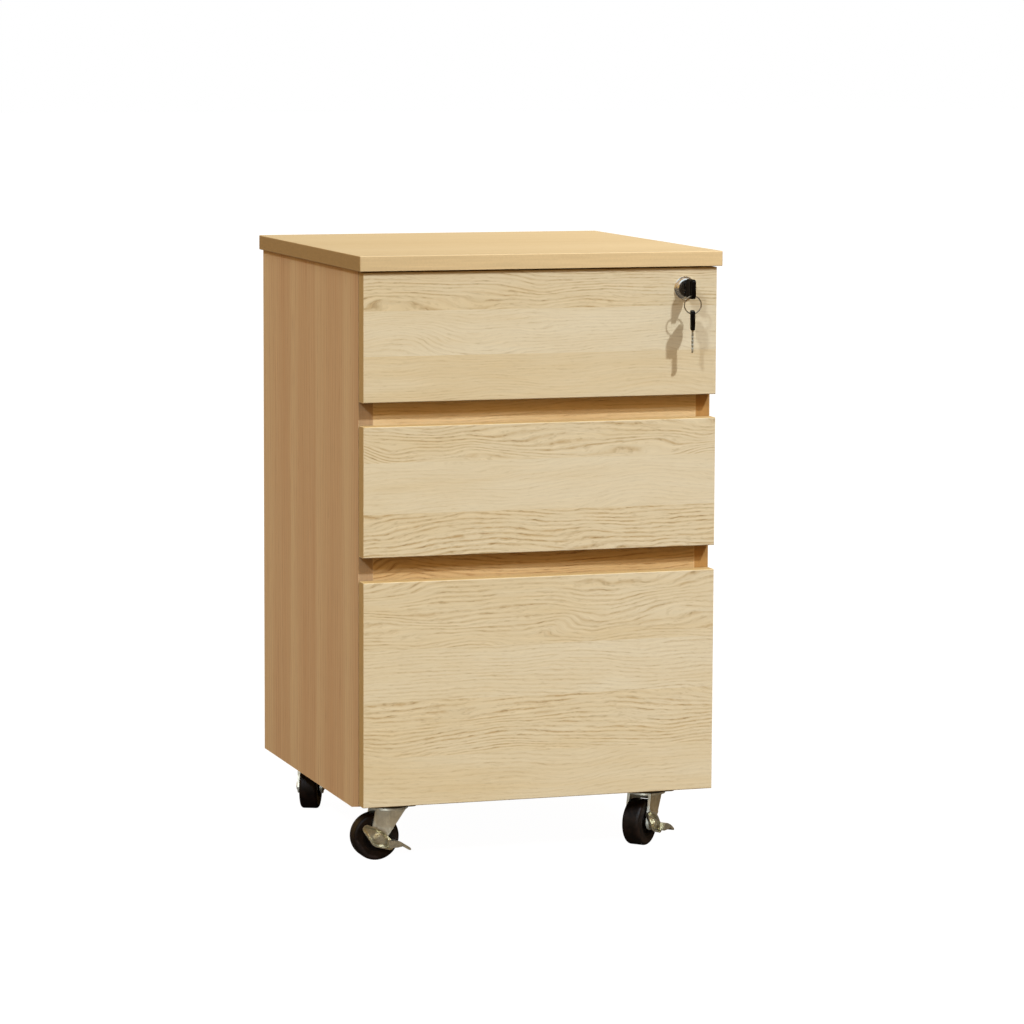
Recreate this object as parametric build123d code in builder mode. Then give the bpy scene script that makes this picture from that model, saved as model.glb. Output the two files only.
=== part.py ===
from build123d import *
import math
import os

# Rolling pedestal cabinet: a three-drawer board carcass on four swivel casters.
# Millimetres. +Z up, +X to the right seen from the front, the drawers open toward -Y.
# The origin is on the floor, at the middle of the whole object's outline.

# ---------------------------------------------------------------- driving dimensions
HEIGHT = 643.0
TOP_WIDTH = 400.0
TOP_DEPTH = 410.0
BOARD = 16.0
BODY_BOTTOM = 58.0  # lower edges of the side and back boards
CASTER_HEIGHT = 61.0  # underside of the bottom board, which the casters carry
TOE_LENGTH = 26.0  # the slope at the lower front corner of each side board
TOE_RISE = 5.0
FLOOR_SETBACK = 5.5  # the bottom board's front edge behind those of the sides
FRONT_WIDTH = 390.0
TOP_OVERHANG_FRONT = 4.5  # the top board's edge ahead of the drawer fronts
FRONT_GAP = 2.3  # drawer fronts to the carcass edge, kept by felt bumpers
EDGE_ROUND = 1.0

# Drawer fronts: the lower edge and the height of each, from the top drawer down.
FRONT_BOTTOMS = (490.5, 328.5, 64.5)
FRONT_HEIGHTS = (135.2, 137.0, 238.0)
# Drawer boxes behind the fronts.
BOX_BOTTOMS = (500.0, 340.0, 80.0)
BOX_TOPS = (588.0, 440.0, 276.0)
BOX_LENGTH = 350.0
BOX_WALL = 12.0
BOX_FLOOR = 4.0
FLOOR_GROOVE = 6.0
FLOOR_LIFT = 8.0
# Fixed rails that close the two finger gaps from behind.
RAIL_BOTTOMS = (446.0, 284.0)
RAIL_HEIGHT = 50.0

# Three-section ball-bearing slides, one pair for each drawer.
SLIDE_HEIGHTS = (530.0, 370.0, 150.0)
SLIDE_SPACE = 13.0
SLIDE_LENGTH = 350.0
SLIDE_TALL = 45.6
SLIDE_STEEL = 1.2

# Cylinder lock in the top drawer's front.
LOCK_X = 159.0
LOCK_Z = 604.1
ROSETTE_RADIUS = 12.3
COLLAR_RADIUS = 10.3
COLLAR_REACH = 6.0
COLLAR_CHAMFER = 1.2
BARREL_RADIUS = 9.0
PLUG_RADIUS = 7.0
CAM_REACH = 20.4
CAM_HALF_WIDTH = 6.5
CAM_STEEL = 2.0
LOCK_NUT_ACROSS = 18.6

# Keys: a flat steel blade in a moulded head with a slot for the ring.
KEY_HEAD_WIDTH = 20.6
KEY_HEAD_LENGTH = 20.5
KEY_HEAD_THICK = 4.6
KEY_HEAD_ROUND = 1.0
KEY_HEAD_BASE = 7.0  # from the drawer front to the head of the key in the lock
KEY_SLOT_LONG = 17.2
KEY_SLOT_WIDE = 3.4
KEY_END_WALL = 2.1
KEY_BLADE_TALL = 6.4
KEY_BLADE_THICK = 2.0
KEY_BLADE_LENGTH = 24.0
KEY_TANG = 6.0
RING_RADIUS = 9.4
RING_WIRE = 0.65
RING_LIFT = 1.75  # from the slot's lower end to the middle of the ring's wire
SPARE_KEY_TURN = 18.0  # degrees about the vertical

# Casters.
CASTER_X_LEFT = -153.0
CASTER_X_RIGHT = 138.0
# How far each fork is turned from facing -X, in the order of CASTER_PLACES.
CASTER_TURNS = (0.0, 44.0, 66.0, 160.0)
CASTER_NAMES = ("front_left", "front_right", "rear_left", "rear_right")
CASTER_BEHIND_FRONT = 48.5
CASTER_AHEAD_OF_BACK = 54.0
PLATE_SIDE = 49.0
PLATE_STEEL = 2.2
PLATE_HOLE_PITCH = 37.0
RACE_RADIUS = 20.5
WHEEL_RADIUS = 25.0
WHEEL_WIDTH = 20.0
TYRE_INNER = 15.0
TREAD_ROUND = 3.2
TRAIL = 16.0
AXLE_RADIUS = 3.0
LEG_INSIDE = 11.2
LEG_OUTSIDE = 14.2
SCREW_RADIUS = 1.8
SCREW_HEAD_RADIUS = 3.8
SCREW_SLOT_LENGTH = 3.6
SCREW_SLOT_WIDTH = 0.8
SCREW_SLOT_DEPTH = 1.1
SCREW_LENGTH = 12.0
RUNNING_FIT = 0.05
GAP = 0.3

# ---------------------------------------------------------------- derived places
RING_AHEAD = KEY_HEAD_BASE + KEY_HEAD_LENGTH - KEY_END_WALL - KEY_SLOT_WIDE / 2
SPARE_TURN = math.radians(SPARE_KEY_TURN)
KEYS_REACH = (
    RING_AHEAD
    + (KEY_HEAD_WIDTH / 2 - KEY_HEAD_ROUND) * math.cos(SPARE_TURN)
    + (KEY_HEAD_THICK / 2 - KEY_HEAD_ROUND) * math.sin(SPARE_TURN)
    + KEY_HEAD_ROUND
)
BODY_DEPTH = TOP_DEPTH - TOP_OVERHANG_FRONT
FRONT_Y = -(BODY_DEPTH - KEYS_REACH) / 2  # outer face of the drawer fronts
BACK_Y = FRONT_Y + BODY_DEPTH
FRONT_BACK_Y = FRONT_Y + BOARD
CARCASS_Y = FRONT_BACK_Y + FRONT_GAP
TOP_UNDERSIDE = HEIGHT - BOARD
HALF_WIDTH = FRONT_WIDTH / 2
INNER_HALF = HALF_WIDTH - BOARD
BOX_HALF = INNER_HALF - SLIDE_SPACE
BOX_BACK_Y = FRONT_BACK_Y + BOX_LENGTH
SIDES = (-1, 1)
CASTER_PLACES = [
    (x, y)
    for y in (FRONT_Y + CASTER_BEHIND_FRONT, BACK_Y - CASTER_AHEAD_OF_BACK)
    for x in (CASTER_X_LEFT, CASTER_X_RIGHT)
]
LOCK_FACE = Plane((LOCK_X, FRONT_Y, LOCK_Z), x_dir=(1, 0, 0), z_dir=(0, -1, 0))


def keep(piece, name):
    """Label a finished sub-part and write it as its own file."""
    piece.part.label = name
    export_step(piece.part, f"parts/{name}.step")


def board(low, high):
    """A plain board between two opposite corners."""
    low, high = Vector(*low), Vector(*high)
    size = high - low
    with BuildPart() as piece:
        with Locations((low + high) / 2):
            Box(size.X, size.Y, size.Z)
    return piece


# ---------------------------------------------------------------- carcass
CAM_RADIUS = 7.5
CAM_DEPTH = 12.5
CAM_INSET = 34.0
CAM_CLEARANCE = 0.1
SIDE_CAM_Z = TOP_UNDERSIDE - CAM_INSET
SIDE_CAM_YS = (CARCASS_Y + 60.0, BACK_Y - 90.0)
FLOOR_CAM_YS = (CARCASS_Y + 95.0, BACK_Y - 125.0)
BACK_CAM_ZS = (180.0, 520.0)


def cam_places():
    """Where each round cam of the knock-down joints sits, and which way it faces."""
    places = []
    for side in SIDES:
        places += [
            Plane((side * INNER_HALF, y, SIDE_CAM_Z), z_dir=(-side, 0, 0)) for y in SIDE_CAM_YS
        ]
        inset_x = side * (INNER_HALF - CAM_INSET)
        places += [Plane((inset_x, y, CASTER_HEIGHT), z_dir=(0, 0, -1)) for y in FLOOR_CAM_YS]
        places += [
            Plane((inset_x, CARCASS_Y + BOARD, z + RAIL_HEIGHT / 2), z_dir=(0, 1, 0))
            for z in RAIL_BOTTOMS
        ]
        places += [Plane((inset_x, BACK_Y - BOARD, z), z_dir=(0, -1, 0)) for z in BACK_CAM_ZS]
    return places


def cut_cam_pockets():
    """Cut the pockets for the cams out of the board being built."""
    for place in cam_places():
        with BuildSketch(place) as pocket:
            Circle(CAM_RADIUS + CAM_CLEARANCE)
        extrude(pocket.sketch, amount=-CAM_DEPTH, mode=Mode.SUBTRACT)


def carcass_board(low, high):
    """A board of the carcass with its cam pockets."""
    low, high = Vector(*low), Vector(*high)
    size = high - low
    with BuildPart() as piece:
        with Locations((low + high) / 2):
            Box(size.X, size.Y, size.Z)
        cut_cam_pockets()
    return piece


def side_board(side):
    """A side board, with its lower front corner cut on a slope."""
    low_x, high_x = sorted((side * HALF_WIDTH, side * INNER_HALF))
    low = Vector(low_x, CARCASS_Y, BODY_BOTTOM)
    high = Vector(high_x, BACK_Y, TOP_UNDERSIDE)
    size = high - low
    with BuildPart() as piece:
        with Locations((low + high) / 2):
            Box(size.X, size.Y, size.Z)
        cut_cam_pockets()
        with BuildSketch(Plane.YZ.offset(low_x)) as toe:
            with BuildLine():
                Polyline(
                    (CARCASS_Y, BODY_BOTTOM),
                    (CARCASS_Y + TOE_LENGTH, BODY_BOTTOM),
                    (CARCASS_Y, BODY_BOTTOM + TOE_RISE),
                    close=True,
                )
            make_face()
        extrude(toe.sketch, amount=BOARD, mode=Mode.SUBTRACT)
    return piece


def top_panel():
    """The top board, which overhangs the carcass on three sides, with softened edges."""
    with BuildPart() as piece:
        with BuildSketch(Plane.XY.offset(TOP_UNDERSIDE)):
            with Locations((0, BACK_Y - TOP_DEPTH / 2)):
                RectangleRounded(TOP_WIDTH, TOP_DEPTH, 2 * EDGE_ROUND)
        extrude(amount=BOARD)
        fillet(piece.faces().sort_by(Axis.Z)[-1].edges(), EDGE_ROUND)
        chamfer(piece.faces().sort_by(Axis.Z)[0].edges(), EDGE_ROUND / 2)
    return piece


def floor_panel():
    """The bottom board, with pilot holes for the casters' screws."""
    with BuildPart() as piece:
        front_y = CARCASS_Y + FLOOR_SETBACK
        back_y = BACK_Y - BOARD
        with Locations((0, (front_y + back_y) / 2, CASTER_HEIGHT + BOARD / 2)):
            Box(2 * INNER_HALF, back_y - front_y, BOARD)
        cut_cam_pockets()
        for x, y in CASTER_PLACES:
            with BuildSketch(Plane((x, y, CASTER_HEIGHT), z_dir=(0, 0, -1))):
                with GridLocations(PLATE_HOLE_PITCH, PLATE_HOLE_PITCH, 2, 2):
                    Circle(SCREW_RADIUS + CAM_CLEARANCE)
            extrude(amount=-SCREW_LENGTH, mode=Mode.SUBTRACT)
    return piece


def cam_fittings():
    """Sixteen die-cast cams with a cross slot, flush in their pockets."""
    with BuildPart() as piece:
        for place in cam_places():
            with BuildSketch(place):
                Circle(CAM_RADIUS)
            extrude(amount=-(CAM_DEPTH - GAP))
            with BuildSketch(place):
                Rectangle(9.0, 1.6)
                Rectangle(1.6, 9.0)
            extrude(amount=-2.5, mode=Mode.SUBTRACT)
    return piece


# ---------------------------------------------------------------- lock strike
STRIKE_STEEL = 1.5
STRIKE_WIDTH = 34.0
STRIKE_LENGTH = 24.0
STRIKE_DROP = 11.5
STRIKE_Y = FRONT_BACK_Y + 4.6


def lock_strike():
    """An angle plate under the top board, which the turned cam catches from behind."""
    with BuildPart() as piece:
        with BuildSketch(Plane.YZ.offset(LOCK_X - STRIKE_WIDTH / 2)):
            with BuildLine():
                Polyline(
                    (STRIKE_Y, TOP_UNDERSIDE),
                    (STRIKE_Y + STRIKE_LENGTH, TOP_UNDERSIDE),
                    (STRIKE_Y + STRIKE_LENGTH, TOP_UNDERSIDE - STRIKE_STEEL),
                    (STRIKE_Y + STRIKE_STEEL, TOP_UNDERSIDE - STRIKE_STEEL),
                    (STRIKE_Y + STRIKE_STEEL, TOP_UNDERSIDE - STRIKE_DROP),
                    (STRIKE_Y, TOP_UNDERSIDE - STRIKE_DROP),
                    close=True,
                )
            make_face()
        extrude(amount=STRIKE_WIDTH)
    return piece


# ---------------------------------------------------------------- slides
LIP_REACH = 5.4
LIP_INNER = SLIDE_TALL / 2 - 1.4
MIDDLE_WEB = (5.9, 7.1)
MIDDLE_FLANGE = (1.9, 11.0)
MIDDLE_TALL = 18.0
INNER_FLANGE_FROM = 7.8
INNER_TALL = 12.6
OUTER_CAGE = (2.4, 4.8)
INNER_CAGE = (8.6, 10.4)
CAGE_CLEARANCE = 0.2
OUTER_SLIDE_Y = CARCASS_Y + 2.0
MIDDLE_SLIDE_Y = OUTER_SLIDE_Y + 2.0
MIDDLE_SLIDE_LENGTH = SLIDE_LENGTH - 10.0


def slide_bar(side, span, height_from, height_to, slide_z):
    """A rectangle of a slide's cross-section, placed from the carcass wall inwards."""
    centre_x = side * (INNER_HALF - (span[0] + span[1]) / 2)
    with Locations((centre_x, slide_z + (height_from + height_to) / 2)):
        Rectangle(span[1] - span[0], height_to - height_from)


def slide_plane(y):
    """A plane across the slides, facing the back, with X to the right and Z up."""
    return Plane((0, y, 0), x_dir=(1, 0, 0), z_dir=(0, -1, 0))


def outer_slides():
    """The six channels screwed to the carcass walls."""
    with BuildPart() as piece:
        with BuildSketch(slide_plane(OUTER_SLIDE_Y)):
            for slide_z in SLIDE_HEIGHTS:
                for side in SIDES:
                    half = SLIDE_TALL / 2
                    slide_bar(side, (0, SLIDE_STEEL), -half, half, slide_z)
                    slide_bar(side, (0, LIP_REACH), LIP_INNER, half, slide_z)
                    slide_bar(side, (0, LIP_REACH), -half, -LIP_INNER, slide_z)
        extrude(amount=-SLIDE_LENGTH)
    return piece


def middle_slides(slide_z):
    """A drawer's two middle channels with their ball cages."""
    with BuildPart() as piece:
        with BuildSketch(slide_plane(MIDDLE_SLIDE_Y)):
            for side in SIDES:
                slide_bar(side, MIDDLE_WEB, -MIDDLE_TALL, MIDDLE_TALL, slide_z)
                for turn in SIDES:
                    flange = sorted((turn * MIDDLE_TALL, turn * (MIDDLE_TALL - SLIDE_STEEL)))
                    slide_bar(side, MIDDLE_FLANGE, *flange, slide_z)
                    cage = sorted((turn * MIDDLE_TALL, turn * (LIP_INNER - CAGE_CLEARANCE)))
                    slide_bar(side, OUTER_CAGE, *cage, slide_z)
                    cage = sorted((turn * (INNER_TALL + CAGE_CLEARANCE), turn * MIDDLE_TALL))
                    slide_bar(side, INNER_CAGE, *cage, slide_z)
        extrude(amount=-MIDDLE_SLIDE_LENGTH)
    return piece


def inner_slides(slide_z):
    """A drawer's two inner channels, fixed to its side boards."""
    with BuildPart() as piece:
        with BuildSketch(slide_plane(FRONT_BACK_Y + GAP)):
            for side in SIDES:
                web = (SLIDE_SPACE - SLIDE_STEEL, SLIDE_SPACE)
                slide_bar(side, web, -INNER_TALL, INNER_TALL, slide_z)
                for turn in SIDES:
                    flange = sorted((turn * INNER_TALL, turn * (INNER_TALL - SLIDE_STEEL)))
                    slide_bar(side, (INNER_FLANGE_FROM, SLIDE_SPACE), *flange, slide_z)
        extrude(amount=-(BOX_LENGTH - 2 * GAP))
    return piece


# ---------------------------------------------------------------- drawers
def drawer_front(index):
    """A drawer's front board, with softened edges and the lock's bore in the top one."""
    with BuildPart() as piece:
        middle_z = FRONT_BOTTOMS[index] + FRONT_HEIGHTS[index] / 2
        with Locations((0, FRONT_Y + BOARD / 2, middle_z)):
            Box(FRONT_WIDTH, BOARD, FRONT_HEIGHTS[index])
        fillet(piece.faces().sort_by(Axis.Y)[0].edges(), EDGE_ROUND)
        if index == 0:
            with BuildSketch(LOCK_FACE):
                Circle(BARREL_RADIUS + CAM_CLEARANCE)
            extrude(amount=-BOARD, mode=Mode.SUBTRACT)
    return piece


def drawer_sides(index):
    """A drawer's two side boards, each grooved for the floor."""
    tall = BOX_TOPS[index] - BOX_BOTTOMS[index]
    groove_z = BOX_BOTTOMS[index] + FLOOR_LIFT + BOX_FLOOR / 2
    with BuildPart() as piece:
        for side in SIDES:
            centre = (
                side * (BOX_HALF - BOX_WALL / 2),
                FRONT_BACK_Y + BOX_LENGTH / 2,
                BOX_BOTTOMS[index] + tall / 2,
            )
            with Locations(centre):
                Box(BOX_WALL, BOX_LENGTH, tall)
        top_edges = piece.faces().filter_by(Axis.Z).group_by(Axis.Z)[-1].edges()
        fillet(top_edges.filter_by(Axis.Y), EDGE_ROUND)
        with Locations((0, FRONT_BACK_Y + BOX_LENGTH / 2, groove_z)):
            groove_width = 2 * (BOX_HALF - BOX_WALL + FLOOR_GROOVE)
            Box(groove_width, BOX_LENGTH, BOX_FLOOR, mode=Mode.SUBTRACT)
    return piece


def drawer_back(index):
    """A drawer's back board, standing on its floor between the sides."""
    inner = BOX_HALF - BOX_WALL
    low_z = BOX_BOTTOMS[index] + FLOOR_LIFT + BOX_FLOOR
    return board(
        (-inner, BOX_BACK_Y - BOX_WALL, low_z),
        (inner, BOX_BACK_Y, BOX_TOPS[index] - 4.0),
    )


def drawer_floor(index):
    """A drawer's thin floor, held in the grooves of the side boards."""
    half = BOX_HALF - BOX_WALL + FLOOR_GROOVE
    low_z = BOX_BOTTOMS[index] + FLOOR_LIFT
    return board((-half, FRONT_BACK_Y, low_z), (half, BOX_BACK_Y, low_z + BOX_FLOOR))


# ---------------------------------------------------------------- lock
ROSETTE_THICK = 1.5
ROSETTE_CHAMFER = 0.8
NUT_THICK = 3.5
BARREL_END = 22.0  # behind the drawer front's outer face
TANG_HALF = 3.0
PLUG_RECESS = 0.5
KEYWAY_CLEARANCE = 0.2


def lock_layer(radius, depth_from, depth_to, mode=Mode.ADD):
    """A round layer of the lock between two depths, counted outwards from the front."""
    with BuildSketch(LOCK_FACE.offset(depth_from)) as disc:
        Circle(radius)
    extrude(disc.sketch, amount=depth_to - depth_from, mode=mode)


def lock_body():
    """The fixed cylinder: rosette, collar, threaded barrel and its nut, bored for the plug."""
    with BuildPart() as piece:
        lock_layer(ROSETTE_RADIUS, 0, ROSETTE_THICK)
        chamfer(piece.faces().sort_by(Axis.Y)[0].edges(), ROSETTE_CHAMFER)
        lock_layer(COLLAR_RADIUS, 0, COLLAR_REACH)
        chamfer(piece.faces().sort_by(Axis.Y)[0].edges(), COLLAR_CHAMFER)
        lock_layer(BARREL_RADIUS, -BARREL_END, 0)
        with BuildSketch(LOCK_FACE.offset(-BOARD)):
            RegularPolygon(LOCK_NUT_ACROSS / 2, 6, major_radius=False)
        extrude(amount=-NUT_THICK)
        lock_layer(PLUG_RADIUS + RUNNING_FIT, -BARREL_END, COLLAR_REACH, Mode.SUBTRACT)
    return piece


def lock_plug():
    """The turning plug, with its keyway in front and a square tang for the cam behind."""
    cam_face = -(BARREL_END + GAP)
    with BuildPart() as piece:
        lock_layer(PLUG_RADIUS, cam_face, COLLAR_REACH - PLUG_RECESS)
        with BuildSketch(LOCK_FACE.offset(cam_face)):
            Rectangle(2 * TANG_HALF, 2 * TANG_HALF)
        extrude(amount=-CAM_STEEL)
        with BuildSketch(LOCK_FACE.offset(COLLAR_REACH)):
            Rectangle(
                KEY_BLADE_THICK + 2 * KEYWAY_CLEARANCE,
                KEY_BLADE_TALL + 2 * KEYWAY_CLEARANCE,
            )
        extrude(amount=-KEY_BLADE_LENGTH, mode=Mode.SUBTRACT)
    return piece


def lock_cam():
    """The steel cam on the plug's tang. It lies to the left when the lock is open."""
    with BuildPart() as piece:
        with BuildSketch(LOCK_FACE.offset(-(BARREL_END + GAP))):
            Circle(CAM_HALF_WIDTH + 1.0)
            with Locations((-CAM_REACH / 2, 0)):
                Rectangle(CAM_REACH, 2 * CAM_HALF_WIDTH - 2.0)
            Rectangle(2 * TANG_HALF, 2 * TANG_HALF, mode=Mode.SUBTRACT)
        extrude(amount=-CAM_STEEL)
        fillet(piece.edges().filter_by(Axis.Y).group_by(Axis.X)[0], 3.0)
    return piece


def cam_screw():
    """The pan-head screw that holds the cam against the tang."""
    with BuildPart() as piece:
        with BuildSketch(LOCK_FACE.offset(-(BARREL_END + GAP + CAM_STEEL))):
            Circle(4.2)
        extrude(amount=-2.4)
        fillet(piece.faces().sort_by(Axis.Y)[-1].edges(), 1.0)
        with BuildSketch(LOCK_FACE.offset(-(BARREL_END + GAP + CAM_STEEL + 2.4))):
            Rectangle(4.6, 1.0)
            Rectangle(1.0, 4.6)
        extrude(amount=1.2, mode=Mode.SUBTRACT)
    return piece


# ---------------------------------------------------------------- keys
HEAD_SHOULDER = 4.0
HEAD_NECK_HALF = 6.0
HEAD_CORNER = 3.0
NOTCH_PITCH = 4.0
NOTCH_DEPTH = 1.3
# The key in the lock stands upright; its plane's X runs towards the viewer.
KEY_PLANE = Plane(
    (LOCK_X, FRONT_Y - KEY_HEAD_BASE, LOCK_Z), x_dir=(0, -1, 0), z_dir=(1, 0, 0)
)
RING_Y = FRONT_Y - RING_AHEAD
RING_TOP_Z = LOCK_Z - KEY_SLOT_LONG / 2 + RING_LIFT
RING_BOTTOM_Z = RING_TOP_Z - 2 * RING_RADIUS
# The spare key hangs head up from the ring's lowest point; its plane's X runs up.
SPARE_HEAD_TOP_Z = RING_BOTTOM_Z + RING_WIRE + 2 * GAP + KEY_END_WALL
SPARE_PLANE = Plane(
    (LOCK_X, RING_Y, SPARE_HEAD_TOP_Z - KEY_HEAD_LENGTH),
    x_dir=(0, 0, 1),
    z_dir=(math.cos(SPARE_TURN), -math.sin(SPARE_TURN), 0),
)


def blade_outline(clearance=0.0):
    """The blade's outline in a key's plane, from its tang in the head to its tip."""
    with Locations(((KEY_TANG - KEY_BLADE_LENGTH) / 2, 0)):
        Rectangle(KEY_TANG + KEY_BLADE_LENGTH, KEY_BLADE_TALL + 2 * clearance)


def key_head(plane):
    """A moulded head with a slot for the ring and a pocket for the blade's tang."""
    half = KEY_HEAD_WIDTH / 2
    with BuildPart() as piece:
        with BuildSketch(plane.offset(-KEY_HEAD_THICK / 2)):
            with BuildLine():
                Polyline(
                    (0, -HEAD_NECK_HALF),
                    (HEAD_SHOULDER, -half),
                    (KEY_HEAD_LENGTH, -half),
                    (KEY_HEAD_LENGTH, half),
                    (HEAD_SHOULDER, half),
                    (0, HEAD_NECK_HALF),
                    close=True,
                )
            outline = make_face()
            fillet(outline.vertices().sort_by(Axis.X)[-2:], HEAD_CORNER)
        extrude(amount=KEY_HEAD_THICK)
        flat_faces = piece.faces().filter_by(Axis((0, 0, 0), plane.z_dir))
        fillet(flat_faces.edges(), KEY_HEAD_ROUND)
        with BuildSketch(plane):
            slot_x = KEY_HEAD_LENGTH - KEY_END_WALL - KEY_SLOT_WIDE / 2
            with Locations((slot_x, 0)):
                RectangleRounded(KEY_SLOT_WIDE, KEY_SLOT_LONG, 1.0)
        extrude(amount=KEY_HEAD_THICK, both=True, mode=Mode.SUBTRACT)
        with BuildSketch(plane):
            blade_outline()
        extrude(amount=KEY_BLADE_THICK / 2, both=True, mode=Mode.SUBTRACT)
    return piece


def key_blade(plane):
    """A steel blade with a pointed tip and cut notches along one edge."""
    with BuildPart() as piece:
        with BuildSketch(plane):
            blade_outline()
            for step in range(1, 5):
                with Locations((-(2.0 + step * NOTCH_PITCH), KEY_BLADE_TALL / 2)):
                    Rectangle(2 * NOTCH_DEPTH, 2 * NOTCH_DEPTH, 45, mode=Mode.SUBTRACT)
        extrude(amount=KEY_BLADE_THICK / 2, both=True)
        tip_face = piece.faces().filter_by(Axis((0, 0, 0), plane.x_dir))
        tip_face = tip_face.sort_by(Axis((0, 0, 0), plane.x_dir))[0]
        chamfer(tip_face.edges().filter_by(Axis((0, 0, 0), plane.z_dir)), 1.8)
    return piece


def key_ring():
    """A round wire ring through the slot of each key's head."""
    with BuildPart() as piece:
        with Locations((LOCK_X, RING_Y, RING_TOP_Z - RING_RADIUS)):
            Torus(RING_RADIUS, RING_WIRE, rotation=(90, 0, 0))
    return piece


# ---------------------------------------------------------------- casters
# Each caster is drawn once around a swivel axis at the origin, trailing towards -X.
RACE_THICK = 1.8
CROWN_TOP = CASTER_HEIGHT - PLATE_STEEL - RACE_THICK - GAP
CROWN_STEEL = 2.0
CROWN_UNDERSIDE = CROWN_TOP - CROWN_STEEL
KINGPIN_RADIUS = 4.0
RIVET_RADIUS = 7.0
RIVET_THICK = 1.9
LEG_FRONT_X = -17.5
LEG_BACK_X = 16.0
AXLE_BOSS = 8.0
APRON_LOW = (9.0, 46.0)  # lower edge of the apron that joins the legs behind the wheel
RIDGE_X = -3.0  # a crease down each leg, from which its outer face falls away both ways
FRONT_FALL = 0.9
BACK_FALL = 2.6
AXLE_PLANE = Plane((-TRAIL, 0, WHEEL_RADIUS), x_dir=(1, 0, 0), z_dir=(0, -1, 0))
PEDAL_STEEL = 1.2
PEDAL_WIDTH = 11.0
PEDAL_TIP_ROUND = 0.9
TRAY_FROM = LEG_OUTSIDE + GAP
TRAY_DEPTH = 4.4
TRAY_FLARE = 34.0  # degrees by which the dish's wall leans outwards
TRAY_WALL = 0.4  # by which the hollow's floor is smaller than the dish's
NUT_THICKNESS = 2.8
NUT_HALF = 4.2
AXLE_END = 3.6  # the threaded end beyond the face that the nut bears on
PIN_HEAD_RADIUS = 5.0
PIN_HEAD_THICK = 1.5
PIN_HEAD_TAPER = 30.0


def placed(shape, place, turn):
    """The canonical caster's piece, moved to a corner and turned about its swivel axis."""
    with BuildPart() as piece:
        with Locations(Location((place[0], place[1], 0), (0, 0, turn))):
            add(shape.part)
    return piece


def caster_plates():
    """Four screwed plates, each with its upper ball race and riveted king pin."""
    with BuildPart() as piece:
        for x, y in CASTER_PLACES:
            underside = Plane((x, y, CASTER_HEIGHT), z_dir=(0, 0, -1))
            with BuildSketch(underside):
                RectangleRounded(PLATE_SIDE, PLATE_SIDE, 6.0)
            extrude(amount=PLATE_STEEL)
            with Locations(underside.offset(PLATE_STEEL)):
                with GridLocations(PLATE_HOLE_PITCH, PLATE_HOLE_PITCH, 2, 2):
                    hole_radius = SCREW_RADIUS + 2 * CAM_CLEARANCE
                    CounterSinkHole(hole_radius, SCREW_HEAD_RADIUS + CAM_CLEARANCE, PLATE_STEEL)
            with BuildSketch(underside.offset(PLATE_STEEL)):
                Circle(RACE_RADIUS)
            extrude(amount=RACE_THICK, taper=12)
            with BuildSketch(underside.offset(PLATE_STEEL)):
                Circle(KINGPIN_RADIUS)
            rivet_top = CROWN_UNDERSIDE - GAP
            extrude(amount=CASTER_HEIGHT - PLATE_STEEL - rivet_top)
            with BuildSketch(Plane((x, y, rivet_top), z_dir=(0, 0, -1))):
                Circle(RIVET_RADIUS)
            extrude(amount=RIVET_THICK, taper=25)
    return piece


def plate_screws():
    """Sixteen countersunk screws that hold the plates, flush with them, under the bottom board."""
    head_depth = SCREW_HEAD_RADIUS - SCREW_RADIUS  # the heads' sides slope at 45 degrees
    profile = (
        (0, 0),
        (SCREW_HEAD_RADIUS, 0),
        (SCREW_RADIUS, head_depth),
        (SCREW_RADIUS, PLATE_STEEL + SCREW_LENGTH - GAP),
        (0, PLATE_STEEL + SCREW_LENGTH - GAP),
    )
    with BuildPart() as one_screw:
        with BuildSketch(Plane.XZ):
            with BuildLine():
                Polyline(*profile, close=True)
            make_face()
        revolve(axis=Axis.Z)
        with BuildSketch(Plane.XY):
            Rectangle(SCREW_SLOT_LENGTH, SCREW_SLOT_WIDTH)
            Rectangle(SCREW_SLOT_WIDTH, SCREW_SLOT_LENGTH)
        extrude(amount=SCREW_SLOT_DEPTH, mode=Mode.SUBTRACT)
    with BuildPart() as piece:
        for x, y in CASTER_PLACES:
            with Locations((x, y, CASTER_HEIGHT - PLATE_STEEL)):
                with GridLocations(PLATE_HOLE_PITCH, PLATE_HOLE_PITCH, 2, 2):
                    add(one_screw.part)
    return piece


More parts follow.
